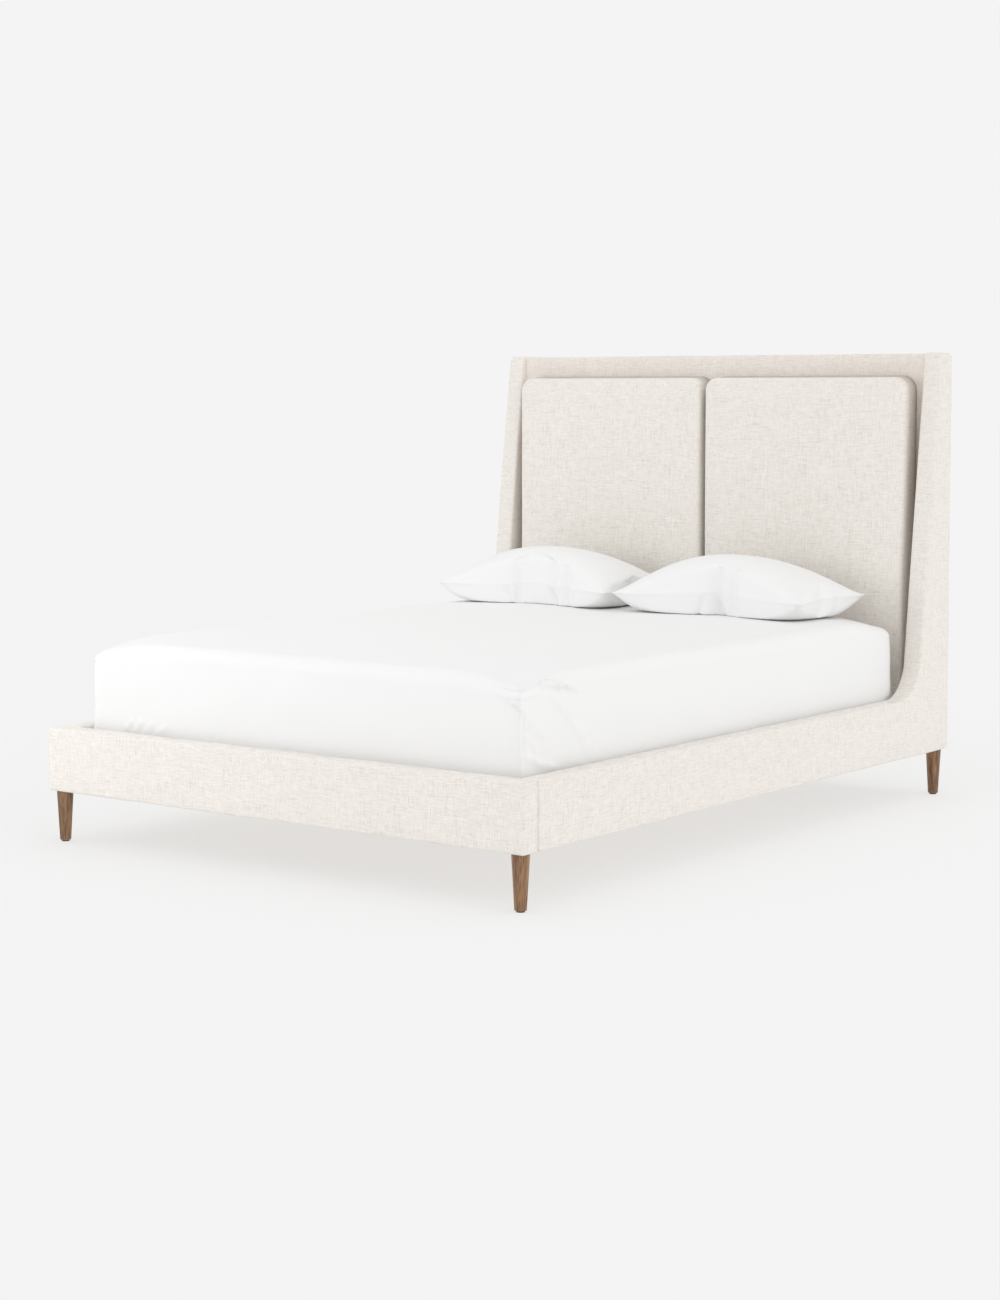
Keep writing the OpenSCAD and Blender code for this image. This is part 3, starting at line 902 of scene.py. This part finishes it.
def inflate(piece, frames, pressure, cap=None, held=""):
    """Fills a closed cloth form with air, as stuffing would, and keeps the result."""
    before = [point.co.copy() for point in piece.data.vertices]
    only(piece)
    cloth = piece.modifiers.new("fill", "CLOTH")
    cloth.settings.quality = 6
    cloth.settings.mass = 0.25
    cloth.settings.tension_stiffness = 25
    cloth.settings.compression_stiffness = 25
    cloth.settings.shear_stiffness = 12
    cloth.settings.bending_stiffness = 0.15
    cloth.settings.vertex_group_mass = held
    cloth.settings.use_pressure = True
    cloth.settings.uniform_pressure_force = pressure
    cloth.settings.effector_weights.gravity = 0
    cloth.collision_settings.use_collision = False
    cloth.point_cache.frame_start = 1
    cloth.point_cache.frame_end = frames
    scene = bpy.context.scene
    for step in range(1, frames + 1):
        scene.frame_set(step)
    bpy.context.view_layer.update()
    apply_all(piece)
    scene.frame_set(1)
    if cap:
        for point, start in zip(piece.data.vertices, before):
            move = point.co - start
            if move.length > cap:
                point.co = start + move * (cap / move.length)


def pillow(right):
    """A pillow in its case: filled with air, laid on the mattress, and creased."""
    side = "right" if right else "left"
    low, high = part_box("pillowcase_" + side)
    middle = (low + high) / 2
    width, depth = PILLOW_FLAT
    seam_z = PILLOW_SEAM
    half = Vector((width / 2, depth / 2, PILLOW_WELT))
    centre = Vector((middle.x, middle.y, seam_z))
    piece = block("pillow_form_" + side, centre - half, centre + half)
    edit(piece)
    slice_up(0, centre.x - width / 2, centre.x + width / 2, PILLOW_CELL)
    slice_up(1, centre.y - depth / 2, centre.y + depth / 2, PILLOW_CELL)
    done()
    rim = set()
    for point in piece.data.vertices:
        across = (point.co.x - centre.x) / (width / 2)
        along = (point.co.y - centre.y) / (depth / 2)
        if max(abs(across), abs(along)) > 0.999:
            rim.add(point.index)
        fullness = max(0, (1 - across ** 2) * (1 - along ** 2)) ** 0.5
        up = 1 if point.co.z > seam_z else -1
        seed = 11.3 if right else 4.7
        uneven = 1 + 0.12 * wave(point.co + Vector((seed, 0, 0)), 0.16)
        point.co.z += up * PILLOW_START * fullness * uneven
    inflate(piece, PILLOW_FILL_FRAMES, PILLOW_FILL)
    settle_pillow(piece, low, high, seam_z, rim)
    edit(piece)
    pick_faces_on(piece, rim)
    bpy.ops.mesh.extrude_region_shrink_fatten(TRANSFORM_OT_shrink_fatten={"value": PILLOW_EDGE})
    done()
    only(piece)
    even = piece.modifiers.new("even", "SMOOTH")
    even.factor = 0.5
    even.iterations = 3
    finer = piece.modifiers.new("finer", "SUBSURF")
    finer.levels = 1
    finer.render_levels = 1
    apply_all(piece)
    crease_pillow(piece, low, high, PILLOW_CREASES[side])
    smooth(piece, 180)
    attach(piece, "pillow_" + side)
    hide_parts("pillowcase_" + side, "pillow_" + side)
    return piece


def crease_pillow(piece, low, high, creases):
    """Presses in the short creases that run down from the front seam."""
    for point in piece.data.vertices:
        co = point.co
        down = PILLOW_SEAM - co.z
        if down < 0.004 or co.y > low.y + 0.12:
            continue
        for place, lean, depth in creases:
            off = co.x - low.x - place * (high.x - low.x) - lean * down
            press = depth * math.exp(-((off / CREASE_WIDTH) ** 2)) * min(1, down / 0.014)
            co.y += press
            co.z += 0.3 * press


def settle_pillow(piece, low, high, seam_z, rim):
    """Lets a filled pillow lie on the mattress: plump and lens-shaped on top, flat where it rests."""
    points = piece.data.vertices
    box_low = Vector([min(p.co[i] for p in points) for i in range(3)])
    box_high = Vector([max(p.co[i] for p in points) for i in range(3)])
    rise = high.z - 0.003 - seam_z
    for point in points:
        co = point.co
        share = [(co[i] - box_low[i]) / (box_high[i] - box_low[i]) for i in (0, 1)]
        for i in (0, 1):
            co[i] = low[i] + PILLOW_INSET + share[i] * (high[i] - low[i] - 2 * PILLOW_INSET)
        across = 2 * share[0] - 1
        along = 2 * share[1] - 1
        lens = max(0, (1 - abs(across) ** 2.4)) ** 0.85 * max(0, (1 - abs(along) ** 2.3)) ** 0.72
        lens *= 1 - 0.10 * across * (1 - across ** 2)
        belly = max(0, (1 - abs(across) ** 3)) ** 0.7 * max(0, (1 - abs(along) ** 3)) ** 0.6
        sag = 0.010 * (1 - across ** 2) * (1 - along ** 2)
        if point.index in rim:
            co.z += sag * 0.6 + 0.006 * max(0, 1 - 2 * abs(across))
        elif co.z > seam_z:
            filled = (co.z - seam_z) / (box_high.z - seam_z)
            co.z = seam_z + rise * (0.15 * filled + 0.85 * lens) + 0.001
        else:
            drop = (seam_z - co.z) / (seam_z - box_low.z)
            rest = seam_z - (MATTRESS_HIGH.z + crown(co) + 0.0003)
            hang = PILLOW_HANG * (0.3 * drop + 0.7 * belly) / rest
            co.z = seam_z - rest * hang / (1 + hang ** 5) ** 0.2


# ---- the bed ----
camera()
studio()

rail_linen = linen("linen", LINEN_LIGHT, LINEN_DARK, LINEN_SLUB)
white = cotton("white_cotton", (0.887, 0.887, 0.882))
tick = cotton("ticking", (0.80, 0.79, 0.76), 0.001)

for cover in (foot_cover(), side_cover(False), side_cover(True)):
    dress(cover, rail_linen)
panel_low, panel_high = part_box("panel_cover_left")
# painted shade on the headboard's linen: darker going down from just below the panels' top, where it
# lies in shade behind and beside the panels
shade_behind_panels = (2, panel_high.z - 0.010, panel_high.z - 0.450)
head_linen_shaded = linen("headboard_linen", HEAD_LINEN_LIGHT_SHADED, HEAD_LINEN_DARK_SHADED, LINEN_SLUB, shade_behind_panels)
dress(headboard_cover(), head_linen_shaded)
# painted shade on the panels' sides: darker towards the headboard, where the sides lie in shade
shade_on_panel_sides = (1, panel_low.y + 0.026, panel_low.y + 0.095)
panel_linen_shaded = linen("panel_linen_shaded", LINEN_LIGHT, LINEN_DARK, LINEN_SLUB, shade_on_panel_sides)
for panel in (padded_panel(False), padded_panel(True)):
    dress(panel, panel_linen_shaded)
dress(mattress(), tick)
dress(fitted_sheet(), white)
for case in (pillow(False), pillow(True)):
    dress(case, white)

FINISHES = {
    "leg_wood": leg_wood(),
    "board_timber": wood("board_timber", (0.62, 0.46, 0.28), (0.46, 0.31, 0.17), 1),
    "slat_timber": wood("slat_timber", (0.68, 0.53, 0.34), (0.52, 0.37, 0.21), 0),
    "plywood": wood("plywood", (0.60, 0.45, 0.28), (0.48, 0.33, 0.19), 2),
    "foam": foam("foam", (0.85, 0.80, 0.60)),
    "steel": metal("steel", (0.62, 0.63, 0.65), 0.35),
    "brass": metal("brass", (0.72, 0.53, 0.22), 0.35),
    "black_plastic": plastic("black_plastic", (0.02, 0.02, 0.02)),
    "back_cloth": cotton("back_cloth", (0.60, 0.56, 0.50), 0.0008),
}
FINISHES["linen"] = rail_linen
FINISHES["ticking"] = tick
FINISHES["white_cotton"] = white
for row in frame["record"]["subparts"]:
    node = nodes[row["node"]]
    node.data.materials.clear()
    node.data.materials.append(FINISHES[row["material_slot"]])
